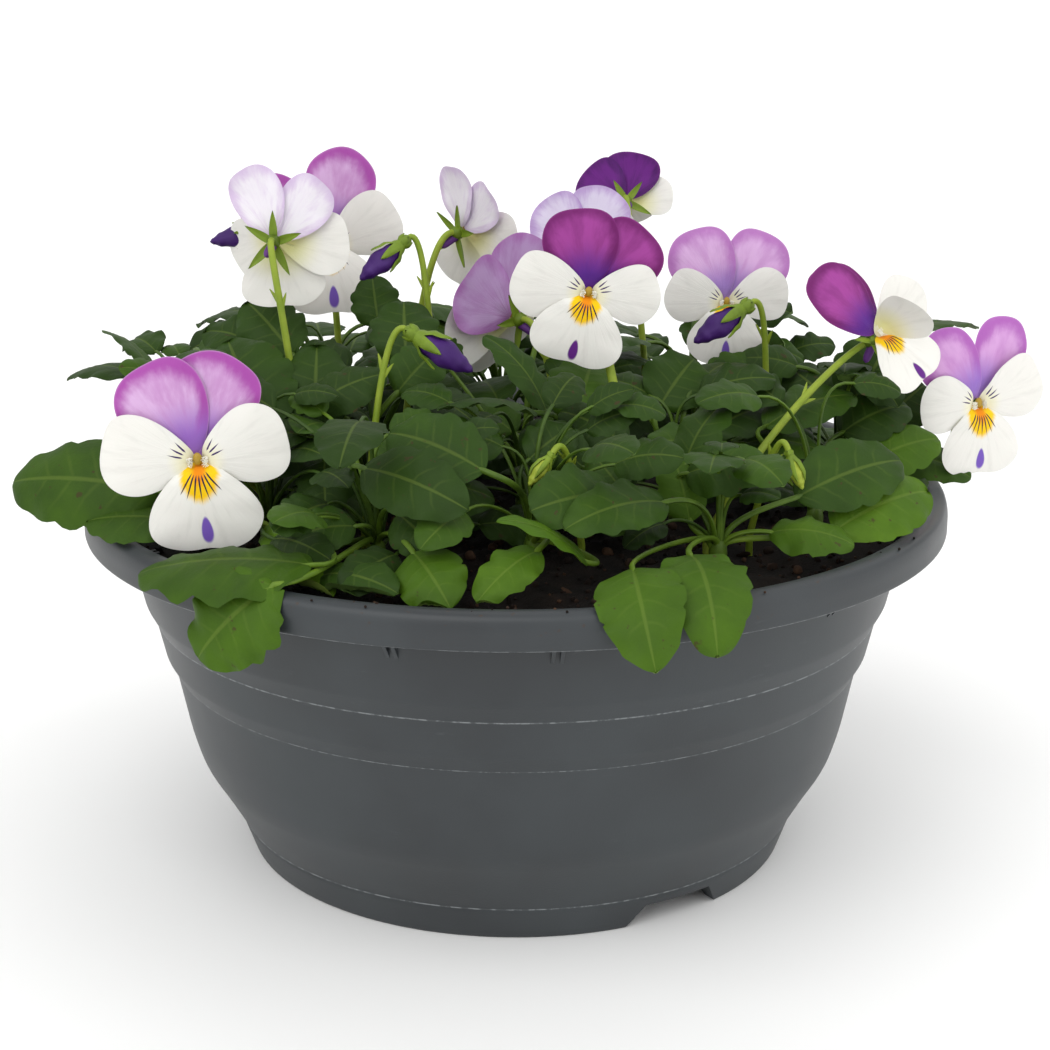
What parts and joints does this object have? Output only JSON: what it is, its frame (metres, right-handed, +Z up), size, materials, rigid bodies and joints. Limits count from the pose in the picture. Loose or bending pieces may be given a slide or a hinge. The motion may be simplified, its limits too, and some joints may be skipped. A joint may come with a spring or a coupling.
{
  "type": "potted horned violet",
  "caption": "Horned violet in bloom with white and purple five-petalled flowers, buds and crenate leaves, planted in a round dark grey plastic patio bowl.",
  "frame": {"origin": "on the ground under the middle of the whole plant and bowl", "axes": "+Z up out of the bowl, -Y towards the side that most blooms face, +X to the right of that side"},
  "size_m": [0.2708, 0.2372, 0.1856],
  "materials": {
    "pot_plastic": "moulded, dark anthracite grey with a slight sheen",
    "potting_soil": "damp, dark brown potting compost, crumbly and matt",
    "leaf": "matt dark green with a pale midrib, paler underneath",
    "stalk": "smooth yellow-green stalk, sepals and calyx",
    "petal_white": "velvety white with a yellow eye, dark rays and a violet blotch",
    "petal_lilac": "velvety lilac to magenta with paler streaks",
    "petal_purple": "velvety deep magenta purple",
    "petal_pale": "pale lilac, almost white from behind",
    "petal_dark": "dark violet from behind",
    "bud_purple": "furled dark violet petals"
  },
  "bodies": {
    "root": {"pot": "pot_plastic", "soil": "potting_soil", "bloom_1_upper_petals": "petal_lilac", "bloom_1_white_petals": "petal_white", "bloom_1_stalk": "stalk", "bloom_2_upper_petals": "petal_purple", "bloom_2_white_petals": "petal_white", "bloom_2_stalk": "stalk", "bloom_3_upper_petals": "petal_pale", "bloom_3_white_petals": "petal_white", "bloom_3_stalk": "stalk", "bloom_4_upper_petals": "petal_lilac", "bloom_4_white_petals": "petal_white", "bloom_4_stalk": "stalk", "bloom_5_upper_petals": "petal_pale", "bloom_5_white_petals": "petal_white", "bloom_5_stalk": "stalk", "bloom_6_upper_petals": "petal_lilac", "bloom_6_white_petals": "petal_white", "bloom_6_stalk": "stalk", "bloom_7_upper_petals": "petal_dark", "bloom_7_white_petals": "petal_white", "bloom_7_stalk": "stalk", "bloom_8_upper_petals": "petal_pale", "bloom_8_white_petals": "petal_white", "bloom_8_stalk": "stalk", "bloom_9_upper_petals": "petal_lilac", "bloom_9_white_petals": "petal_white", "bloom_9_stalk": "stalk", "bloom_10_upper_petals": "petal_purple", "bloom_10_white_petals": "petal_white", "bloom_10_stalk": "stalk", "bloom_11_upper_petals": "petal_lilac", "bloom_11_white_petals": "petal_white", "bloom_11_stalk": "stalk", "bud_1_furled_petals": "bud_purple", "bud_1_stalk": "stalk", "bud_2_furled_petals": "bud_purple", "bud_2_stalk": "stalk", "bud_3_furled_petals": "bud_purple", "bud_3_stalk": "stalk", "bud_4_furled_petals": "bud_purple", "bud_4_stalk": "stalk", "green_bud_1": "stalk", "green_bud_2": "stalk", "leafy_stem_a": "leaf", "leafy_stem_b": "leaf", "leafy_stem_c": "leaf", "leafy_stem_d": "leaf", "leafy_stem_e": "leaf", "leafy_stem_f": "leaf", "leafy_stem_g": "leaf", "leafy_stem_h": "leaf", "leafy_stem_i": "leaf", "leafy_stem_j": "leaf", "leafy_stem_k": "leaf", "leafy_stem_l": "leaf", "leafy_stem_m": "leaf"}
  },
  "joints": []
}
